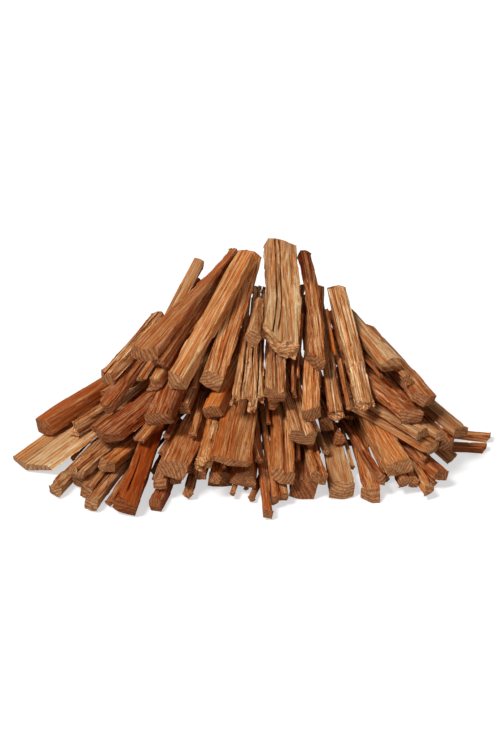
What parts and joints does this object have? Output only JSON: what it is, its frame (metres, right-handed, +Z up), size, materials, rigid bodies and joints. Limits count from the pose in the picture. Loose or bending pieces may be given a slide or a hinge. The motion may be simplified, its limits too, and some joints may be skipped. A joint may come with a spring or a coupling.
{
  "type": "heap of fatwood sticks",
  "caption": "Loose fan-shaped heap of hand-split, resin-rich pine kindling sticks, used to light stoves and campfires.",
  "frame": {"origin": "on the ground, under the middle of the heap's outer limits", "axes": "+X runs to the right across the fan, the longest extent; -Y is the front, where the sticks' foot ends spread; +Z is up, the shortest extent"},
  "size_m": [0.5058, 0.3506, 0.1773],
  "materials": {
    "pale_tan_wood": "split pine, pale tan with fine growth lines, dry and matt",
    "honey_wood": "split pine, honey brown with pale and amber streaks, dry and matt",
    "amber_wood": "split pine, amber with resin, slightly waxy",
    "russet_wood": "split heartwood, dark russet and resin-soaked, slightly waxy"
  },
  "bodies": {
    "root": {"far_right_stick": "amber_wood", "far_right_upper_stick": "honey_wood", "middle_ground_stick": "honey_wood", "three_cornered_stick": "amber_wood", "front_middle_sheaf": "amber_wood", "end_on_front_stick": "russet_wood", "front_yellow_stick": "pale_tan_wood", "front_bent_stick": "amber_wood", "right_ground_sheaf": "honey_wood", "right_ground_stick": "russet_wood", "narrow_cracked_stick": "honey_wood", "slim_middle_stick": "amber_wood", "round_ended_stick": "honey_wood", "pale_rimmed_stick": "honey_wood", "right_low_brown_stick": "russet_wood", "front_left_dark_stick": "russet_wood", "front_left_small_sheaf": "russet_wood", "left_ground_sheaf": "pale_tan_wood", "right_side_stick": "pale_tan_wood", "right_pale_sheaf": "pale_tan_wood", "right_outer_stick": "honey_wood", "right_ridged_stick": "russet_wood", "right_grey_stick": "pale_tan_wood", "left_low_tan_stick": "pale_tan_wood", "left_low_banded_stick": "honey_wood", "far_left_slab": "pale_tan_wood", "front_russet_stick": "amber_wood", "left_yellow_stick": "pale_tan_wood", "big_amber_stick": "amber_wood", "splintered_foot_stick": "pale_tan_wood", "cracked_front_stick": "honey_wood", "central_plank": "honey_wood", "left_ridged_plank": "russet_wood", "light_streaked_stick": "honey_wood", "broad_brown_stick": "russet_wood", "ridged_middle_stick": "pale_tan_wood", "pointed_splinter": "amber_wood", "right_scuffed_stick": "russet_wood", "dark_tapered_stick": "russet_wood", "right_smooth_stick": "russet_wood", "right_rimmed_stick": "honey_wood", "right_shoulder_stick": "pale_tan_wood", "small_orange_stick": "honey_wood", "upper_splinter_sheaf": "pale_tan_wood", "holed_stick": "pale_tan_wood", "ledged_pale_stick": "pale_tan_wood", "ridged_tan_stick": "pale_tan_wood", "slant_cut_stick": "honey_wood", "back_left_long_stick": "amber_wood", "left_under_stick": "russet_wood", "left_ridged_end_stick": "honey_wood", "small_pinkish_stick": "honey_wood", "pale_back_stick": "pale_tan_wood", "two_faced_stick": "honey_wood", "peak_block": "pale_tan_wood", "narrow_brown_stick": "russet_wood", "streaked_orange_stick": "honey_wood", "rising_sliver": "amber_wood", "diamond_end_stick": "pale_tan_wood", "charred_head_stick": "honey_wood"}
  },
  "joints": []
}
